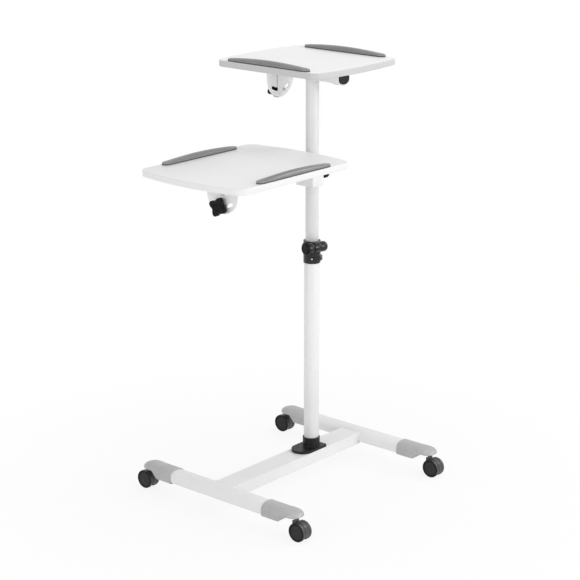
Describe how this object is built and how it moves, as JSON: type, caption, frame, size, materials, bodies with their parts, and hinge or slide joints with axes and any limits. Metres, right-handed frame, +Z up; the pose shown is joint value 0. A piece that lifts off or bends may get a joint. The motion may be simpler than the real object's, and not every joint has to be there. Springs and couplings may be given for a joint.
{
  "type": "audio visual cart",
  "caption": "Mobile cart with an H-shaped castor base, a telescopic post and two tilting shelves with edge stops at different heights.",
  "frame": {"origin": "on the floor, below the middle of the overall box", "axes": "+Z up, +X along the cross beam away from the lower shelf, +Y along the legs towards the upper shelf's tilt knob"},
  "size_m": [0.6658, 0.542, 1.0685],
  "materials": {
    "white_paint": "satin powder coat",
    "white_board": "white laminate",
    "grey_plastic": "satin",
    "dark_plastic": "satin",
    "black_plastic": "fine grain",
    "zinc_steel": "zinc plated"
  },
  "bodies": {
    "base": {"leg_left": "white_paint", "leg_right": "white_paint", "cross_beam": "white_paint", "end_cap_left_front": "grey_plastic", "end_cap_left_back": "grey_plastic", "end_cap_right_front": "grey_plastic", "end_cap_right_back": "grey_plastic", "foot_flange": "black_plastic", "foot_bolt_1": "zinc_steel", "foot_bolt_2": "zinc_steel", "outer_tube": "white_paint", "clamp_body": "black_plastic", "clamp_bolt": "zinc_steel", "clamp_end": "black_plastic", "castor_left_front_stem": "zinc_steel", "castor_left_back_stem": "zinc_steel", "castor_right_front_stem": "zinc_steel", "castor_right_back_stem": "zinc_steel"},
    "castor_left_front": {"castor_left_front_housing": "black_plastic", "castor_left_front_axle": "zinc_steel"},
    "castor_left_front_wheel_a": {"castor_left_front_wheel_a": "black_plastic"},
    "castor_left_front_wheel_b": {"castor_left_front_wheel_b": "black_plastic"},
    "castor_left_back": {"castor_left_back_housing": "black_plastic", "castor_left_back_axle": "zinc_steel"},
    "castor_left_back_wheel_a": {"castor_left_back_wheel_a": "black_plastic"},
    "castor_left_back_wheel_b": {"castor_left_back_wheel_b": "black_plastic"},
    "castor_right_front": {"castor_right_front_housing": "black_plastic", "castor_right_front_axle": "zinc_steel"},
    "castor_right_front_wheel_a": {"castor_right_front_wheel_a": "black_plastic"},
    "castor_right_front_wheel_b": {"castor_right_front_wheel_b": "black_plastic"},
    "castor_right_back": {"castor_right_back_housing": "black_plastic", "castor_right_back_axle": "zinc_steel"},
    "castor_right_back_wheel_a": {"castor_right_back_wheel_a": "black_plastic"},
    "castor_right_back_wheel_b": {"castor_right_back_wheel_b": "black_plastic"},
    "bush": {"guide_bush": "black_plastic"},
    "mast": {"mast_tube": "white_paint", "upper_arm": "white_paint", "upper_arm_cap": "black_plastic", "upper_pivot_bolt": "zinc_steel", "upper_hinge_pin": "zinc_steel"},
    "clamp_knob": {"clamp_knob": "black_plastic"},
    "carriage": {"carriage_collar": "white_paint", "lower_arm": "white_paint", "lower_pivot_bolt": "zinc_steel", "lower_hinge_pin": "zinc_steel"},
    "carriage_knob": {"carriage_knob": "black_plastic"},
    "lower_shelf": {"lower_shelf": "white_board", "lower_stop_near": "dark_plastic", "lower_stop_far": "dark_plastic", "lower_tilt_plate": "white_paint", "lower_hinge_bracket": "white_paint"},
    "lower_tilt_knob": {"lower_tilt_knob": "black_plastic", "lower_knob_screw": "zinc_steel"},
    "upper_shelf": {"upper_shelf": "white_board", "upper_stop_near": "dark_plastic", "upper_stop_far": "dark_plastic", "upper_tilt_plate": "white_paint", "upper_hinge_bracket": "white_paint"},
    "upper_tilt_knob": {"upper_tilt_knob": "black_plastic", "upper_knob_screw": "zinc_steel"}
  },
  "joints": [
    {"name": "castor_left_front_swivel", "type": "hinge", "parent": "base", "child": "castor_left_front", "pos_m": [-0.21035, -0.2373, 0.04], "axis": [0, 0, 1], "continuous": true},
    {"name": "castor_left_front_wheel_a_roll", "type": "hinge", "parent": "castor_left_front", "child": "castor_left_front_wheel_a", "pos_m": [-0.21035, -0.248, 0.023], "axis": [1, 0, 0], "continuous": true},
    {"name": "castor_left_front_wheel_b_roll", "type": "hinge", "parent": "castor_left_front", "child": "castor_left_front_wheel_b", "pos_m": [-0.21035, -0.248, 0.023], "axis": [1, 0, 0], "continuous": true},
    {"name": "castor_left_back_swivel", "type": "hinge", "parent": "base", "child": "castor_left_back", "pos_m": [-0.21035, 0.2373, 0.04], "axis": [0, 0, 1], "continuous": true},
    {"name": "castor_left_back_wheel_a_roll", "type": "hinge", "parent": "castor_left_back", "child": "castor_left_back_wheel_a", "pos_m": [-0.21035, 0.248, 0.023], "axis": [1, 0, 0], "continuous": true},
    {"name": "castor_left_back_wheel_b_roll", "type": "hinge", "parent": "castor_left_back", "child": "castor_left_back_wheel_b", "pos_m": [-0.21035, 0.248, 0.023], "axis": [1, 0, 0], "continuous": true},
    {"name": "castor_right_front_swivel", "type": "hinge", "parent": "base", "child": "castor_right_front", "pos_m": [0.30765, -0.2373, 0.04], "axis": [0, 0, 1], "continuous": true},
    {"name": "castor_right_front_wheel_a_roll", "type": "hinge", "parent": "castor_right_front", "child": "castor_right_front_wheel_a", "pos_m": [0.30765, -0.248, 0.023], "axis": [1, 0, 0], "continuous": true},
    {"name": "castor_right_front_wheel_b_roll", "type": "hinge", "parent": "castor_right_front", "child": "castor_right_front_wheel_b", "pos_m": [0.30765, -0.248, 0.023], "axis": [1, 0, 0], "continuous": true},
    {"name": "castor_right_back_swivel", "type": "hinge", "parent": "base", "child": "castor_right_back", "pos_m": [0.30765, 0.2373, 0.04], "axis": [0, 0, 1], "continuous": true},
    {"name": "castor_right_back_wheel_a_roll", "type": "hinge", "parent": "castor_right_back", "child": "castor_right_back_wheel_a", "pos_m": [0.30765, 0.248, 0.023], "axis": [1, 0, 0], "continuous": true},
    {"name": "castor_right_back_wheel_b_roll", "type": "hinge", "parent": "castor_right_back", "child": "castor_right_back_wheel_b", "pos_m": [0.30765, 0.248, 0.023], "axis": [1, 0, 0], "continuous": true},
    {"name": "mast_turn", "type": "hinge", "parent": "base", "child": "bush", "pos_m": [0.12965, 0.0052, 0.576], "axis": [0, 0, 1], "continuous": true},
    {"name": "mast_height", "type": "slide", "parent": "bush", "child": "mast", "axis": [0, 0, 1], "range_m": [-0.07, 0.25]},
    {"name": "clamp_knob_turn", "type": "hinge", "parent": "base", "child": "clamp_knob", "pos_m": [0.12235, -0.02027, 0.5965], "axis": [0.9613, -0.2756, 0], "range_deg": [-90, 180]},
    {"name": "carriage_height", "type": "slide", "parent": "mast", "child": "carriage", "axis": [0, 0, 1], "range_m": [-0.06, 0.02]},
    {"name": "carriage_knob_turn", "type": "hinge", "parent": "carriage", "child": "carriage_knob", "pos_m": [0.17965, 0.0052, 0.7692], "axis": [1, 0, 0], "range_deg": [-90, 180]},
    {"name": "lower_shelf_tilt", "type": "hinge", "parent": "carriage", "child": "lower_shelf", "pos_m": [-0.19135, 0.0052, 0.8152], "axis": [1, 0, 0], "range_deg": [-27, 27]},
    {"name": "lower_tilt_knob_turn", "type": "hinge", "parent": "carriage", "child": "lower_tilt_knob", "pos_m": [-0.19135, 0.0052, 0.7537], "axis": [1, 0, 0], "range_deg": [-90, 180]},
    {"name": "upper_shelf_tilt", "type": "hinge", "parent": "mast", "child": "upper_shelf", "pos_m": [0.12965, 0.1092, 1.0312], "axis": [0, 1, 0], "range_deg": [-27, 27]},
    {"name": "upper_tilt_knob_turn", "type": "hinge", "parent": "mast", "child": "upper_tilt_knob", "pos_m": [0.12965, 0.1092, 0.9697], "axis": [0, 1, 0], "range_deg": [-90, 180]}
  ]
}
